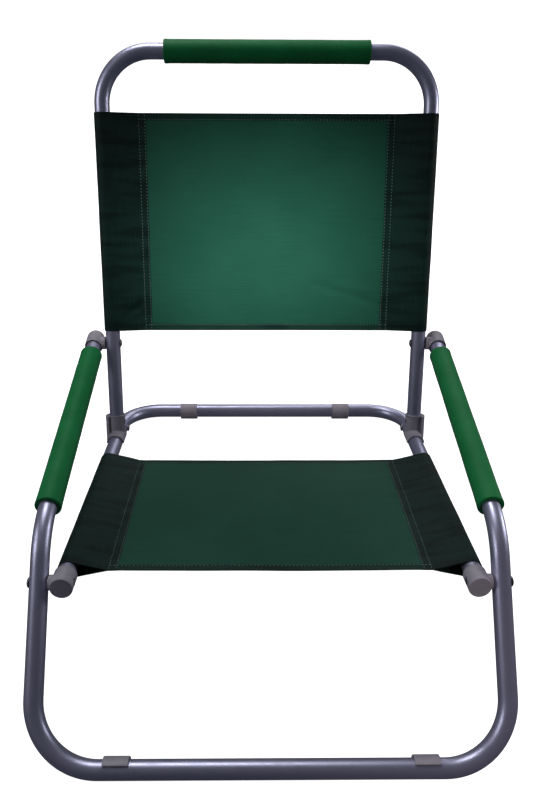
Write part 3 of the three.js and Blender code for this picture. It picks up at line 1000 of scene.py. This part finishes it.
    def shell(self, front, middle, back, across, rows, section):
        """Closes the two faces of the cloth with a rounded edge all round."""
        row_count, column_count = front.shape[:2]
        vertices = np.concatenate([front.reshape(-1, 3), back.reshape(-1, 3)])
        size = row_count * column_count
        faces = []

        def corner(i, j, far):
            return far * size + i * column_count + j

        for i in range(row_count - 1):
            for j in range(column_count - 1):
                near = [(i, j), (i, j + 1), (i + 1, j + 1), (i + 1, j)]
                faces.append(tuple(corner(a, b, 0) for a, b in near))
                faces.append(tuple(corner(a, b, 1) for a, b in reversed(near)))
        edge = [(0, j) for j in range(column_count)]
        edge += [(i, column_count - 1) for i in range(1, row_count)]
        edge += [(row_count - 1, j) for j in range(column_count - 2, -1, -1)]
        edge += [(i, 0) for i in range(row_count - 2, 0, -1)]
        bulge = 0.0003
        edge_points = []
        for i, j in edge:
            inward = middle[min(max(i, 1), row_count - 2), min(max(j, 1), column_count - 2)]
            way = middle[i, j] - inward
            way /= max(np.linalg.norm(way), 1e-9)
            edge_points.append((front[i, j] + back[i, j]) / 2 + way * bulge)
        base = len(vertices)
        vertices = np.concatenate([vertices, edge_points])
        count = len(edge)
        for k, (i, j) in enumerate(edge):
            m = (k + 1) % count
            a, b = edge[k], edge[m]
            faces.append((corner(*b, 0), corner(*a, 0), base + k, base + m))
            faces.append((corner(*a, 1), corner(*b, 1), base + m, base + k))
        piece = facing_out(add_object(self.name, vertices, faces))
        uv = piece.data.uv_layers.new(name="UVMap")
        uv.data.foreach_set("uv", self.loop_uvs(piece, across, rows, edge).ravel())
        double_layer_shade = piece.data.attributes.new("double_layer_shade", "FLOAT", "POINT")
        double_layer_shade.data.foreach_set("value", self.layer_values(section, rows, edge))
        return piece

    def loop_uvs(self, piece, across, rows, edge):
        """Each corner's place on the flat cloth, in metres."""
        grid = np.array([(a, v) for v in rows for a in across], np.float32)
        rim = np.array([(across[j], rows[i]) for i, j in edge], np.float32)
        by_vertex = np.concatenate([grid, grid, rim])
        vertex_of = np.zeros(len(piece.data.loops), np.int32)
        piece.data.loops.foreach_get("vertex_index", vertex_of)
        return by_vertex[vertex_of]

    def layer_values(self, section, rows, edge):
        """How strong the painted shade on the cloth is: 1 where it lies double, at the sleeves and seams,
        0.8 at the hems, and 0 on the single panel.
        """
        seam_step = 0.0012
        values = []
        for v in rows:
            hem = clamped((HEM_WIDTH + HEM_STEP / 2 - self.from_edge(v)) / HEM_STEP)
            for x, _ in section:
                sleeve = clamped((abs(x) - self.seam + SEAM_LAP) / seam_step)
                values.append(max(sleeve, 0.8 * hem))
        grid = np.array(values, np.float32)
        columns = len(section)
        rim = np.array([grid[i * columns + j] for i, j in edge], np.float32)
        return np.concatenate([grid, grid, rim])

    def stitches(self):
        """Lock stitches in two rows down each seam and one along each hem, seen on both faces."""
        start, end = self.run
        inset = HEM_WIDTH - 0.0014
        lines = []
        for sign in (-1, 1):
            for row in STITCH_ROWS:
                x = sign * (self.seam - row)
                lines.append(((x, start + STITCH_MARGIN), (x, end - STITCH_MARGIN)))
        for v in (start + inset, end - inset):
            lines.append(((-self.seam, v), (self.seam, v)))
        vertices, faces = [], []
        for a, b in lines:
            line_way = Vector((b[0] - a[0], b[1] - a[1])).normalized()
            count = int(math.dist(a, b) / STITCH_PITCH)
            for k in range(count):
                share = (k + 0.5) / count
                x = a[0] + (b[0] - a[0]) * share + random.uniform(-STITCH_DRIFT, STITCH_DRIFT)
                v = a[1] + (b[1] - a[1]) * share + random.uniform(-STITCH_DRIFT, STITCH_DRIFT)
                skew = random.uniform(-STITCH_SKEW, STITCH_SKEW)
                way = Vector((line_way.x - line_way.y * skew, line_way.y + line_way.x * skew))
                under = SEAM_LAYER if abs(x) > self.seam - SEAM_LAP else HEM_LAYER
                for face, extra in ((1, 0.0), (-1, under)):
                    self.one_stitch(vertices, faces, (x, v), way.normalized(), face, extra)
        return smooth(add_object(f"{self.name}_stitching", vertices, faces), 60)

    def one_stitch(self, vertices, faces, at, way, face, extra):
        """A short thread that dips into the cloth at both ends; extra is the cloth doubled on that face."""
        sides = 6
        steps = 5
        bow_height = 0.0002
        dip = 0.00012
        depth = CLOTH_THICKNESS / 2 + extra
        base = len(vertices)
        for step in range(steps):
            share = step / (steps - 1)
            bow = math.sin(math.pi * share)
            lengthways = (share - 0.5) * STITCH_LENGTH
            thick = STITCH_RADIUS * (0.35 + 0.65 * bow)
            x, v = at[0] + way.x * lengthways, at[1] + way.y * lengthways
            height = self.relief(x, v) + face * (depth + bow_height * bow - dip)
            for k in range(sides):
                turn = 2 * math.pi * k / sides
                sideways, rise = thick * math.cos(turn), thick * math.sin(turn)
                vertices.append(self.place(x - way.y * sideways, v + way.x * sideways, height + rise))
        for step in range(steps - 1):
            for k in range(sides):
                m = (k + 1) % sides
                low = base + step * sides
                high = low + sides
                faces.append((low + k, low + m, high + m, high + k))
        faces.append(tuple(base + k for k in reversed(range(sides))))
        faces.append(tuple(base + (steps - 1) * sides + k for k in range(sides)))


# Creases in each panel: from, to, width and depth.
BACK_CREASES = (
    ((-0.226, 0.034), (-0.190, 0.064), 0.0035, -0.0055),
    ((-0.214, 0.030), (-0.186, 0.048), 0.0032, -0.0020),
    ((0.075, 0.091), (0.184, 0.058), 0.006, -0.0034),
    ((0.110, 0.103), (0.186, 0.091), 0.009, -0.0013),
    ((-0.182, 0.311), (-0.120, 0.296), 0.009, -0.0007),
    ((0.182, 0.316), (0.110, 0.303), 0.010, -0.0007),
)
SEAT_CREASES = (
    ((-0.188, 0.050), (-0.120, 0.064), 0.010, -0.0010),
    ((0.188, 0.048), (0.115, 0.066), 0.010, -0.0010),
    ((-0.188, 0.268), (-0.110, 0.246), 0.012, -0.0010),
    ((0.188, 0.268), (0.118, 0.252), 0.012, -0.0010),
)


def sew(sling, body, node):
    """Builds a sling and its stitching, held tight on its tube."""
    piece = dress(smooth(sling.build(), 70), cloth, body, "sling_fabric", node)
    sewing = dress(sling.stitches(), thread, body, "sling_fabric")


def slings():
    back = Sling(
        "back_sling",
        back_pivot,
        UPRIGHT_ANGLE,
        BACK_HALF_WIDTH,
        BACK_SEAM,
        BACK_CLOTH,
        sag=0.002,
        gather=0.0009,
        creases=BACK_CREASES,
    )
    sew(back, "back_frame", "back_fabric")
    seat = Sling(
        "seat_sling",
        seat_pivot,
        rail_angle,
        SEAT_HALF_WIDTH,
        SEAT_SEAM,
        SEAT_CLOTH,
        sag=0.0015,
        gather=0.0030,
        creases=SEAT_CREASES,
    )
    sew(seat, "seat_frame", "seat_fabric")


tube_frames()
foam_grips()
end_caps()
saddles()
foot_clips()
rivets()
slings()

# ---- Stage, light and camera ----


FLOOR_HALF_SIZE = 40.0
FLOOR_DARK = (0.93, 0.93, 0.93, 1)
FLOOR_LIGHT = (0.96, 0.96, 0.96, 1)
ROOM_COLOUR = (0.80, 0.82, 1.0, 1)
ROOM_STRENGTH = 0.06
SPOT_COLOUR = (1.0, 0.86, 0.84)

# Soft round lights: name, place, target, diameter and watts.
AREA_LIGHTS = (
    ("overhead", (-0.4, 1.05, 2.1), (0, 0.05, 0.2), 1.1, 18),
    ("left_fill", (-1.9, -0.5, 1.3), (0, 0, 0.25), 0.9, 8.5),
    ("right_rim", (1.9, 0.4, 0.65), (0, 0.1, 0.25), 0.5, 8),
    ("rear_fill", (0.7, 2.2, 1.1), (0, 0.2, 0.3), 1.4, 9),
)

CAMERA_PLACE = (-0.0215, -0.7546, 0.8453)
CAMERA_TILT = 50.66
CAMERA_SWING = -0.6
CAMERA_LENS = 33.3
CAMERA_SHIFT = 0.0082


def stage():
    """A wide pale floor. It adds no bounce light or reflection to the chair, whose dark sides stay deep."""
    shader = Shader("pale_floor", Metallic=0.0, Roughness=0.9, Emission_Strength=0.97)
    shader.surface.inputs["Emission Color"].default_value = (1, 1, 1, 1)
    mottle = shader.noise(shader.place(), 3.0, 3.0)
    material = shader.finish(Base_Color=shader.mix(mottle, FLOOR_DARK, FLOOR_LIGHT))
    corners = [(x * FLOOR_HALF_SIZE, y * FLOOR_HALF_SIZE, 0) for x, y in SQUARE]
    floor = add_object("floor", corners, [range(4)])
    floor.data.materials.append(material)
    floor.visible_glossy = False
    floor.visible_diffuse = False


def hang(name, data, place, target):
    """Puts a lamp at a place, turned towards a target."""
    lamp = bpy.data.objects.new(name, data)
    bpy.context.scene.collection.objects.link(lamp)
    lamp.location = place
    lamp.rotation_euler = (Vector(target) - Vector(place)).to_track_quat("-Z", "Y").to_euler()
    return lamp


def area_light(name, place, target, size, energy):
    data = bpy.data.lights.new(name, "AREA")
    data.shape = "DISK"
    data.size = size
    data.energy = energy
    hang(name, data, place, target)


def spot_light(name, place, target, energy, degrees, widen):
    """A soft-edged spot; widen stretches its cone across. It leaves no mirror image on the tubes."""
    data = bpy.data.lights.new(name, "SPOT")
    data.energy = energy
    data.spot_size = math.radians(degrees)
    data.spot_blend = 1.0
    data.shadow_soft_size = 0.12
    data.color = SPOT_COLOUR
    lamp = hang(name, data, place, target)
    lamp.scale = (widen, 1, 1)
    lamp.visible_glossy = False


def lights():
    """Soft lights all round, a faint cool room, and two spots: on the back and the right front corner."""
    world = bpy.data.worlds.new("room")
    world.use_nodes = True
    room = world.node_tree.nodes["Background"].inputs
    room["Color"].default_value = ROOM_COLOUR
    room["Strength"].default_value = ROOM_STRENGTH
    bpy.context.scene.world = world
    for light in AREA_LIGHTS:
        area_light(*light)
    back_middle = point(0.0, along(back_pivot, 0.122, UPRIGHT_ANGLE))
    spot_light("back_glow", (0.05, -1.1, 1.5), back_middle, 270, 12.4, 1.4)
    right_corner = point(LEG_HALF_WIDTH, along(front_bar, 0.08, LEG_ANGLE))
    spot_light("corner_glow", (1.0, -1.5, 1.3), right_corner, 44, 17, 1.0)


def camera():
    data = bpy.data.cameras.new("camera")
    data.sensor_width = 36
    data.lens = CAMERA_LENS
    data.shift_x = CAMERA_SHIFT
    made = bpy.data.objects.new("camera", data)
    bpy.context.scene.collection.objects.link(made)
    made.location = CAMERA_PLACE
    tilt = Matrix.Rotation(math.radians(CAMERA_TILT), 3, "X")
    swing = Matrix.Rotation(math.radians(CAMERA_SWING), 3, "Y")
    made.rotation_euler = (tilt @ swing).to_euler()
    bpy.context.scene.camera = made


stage()
lights()
camera()
bpy.context.scene.view_settings.view_transform = "Standard"
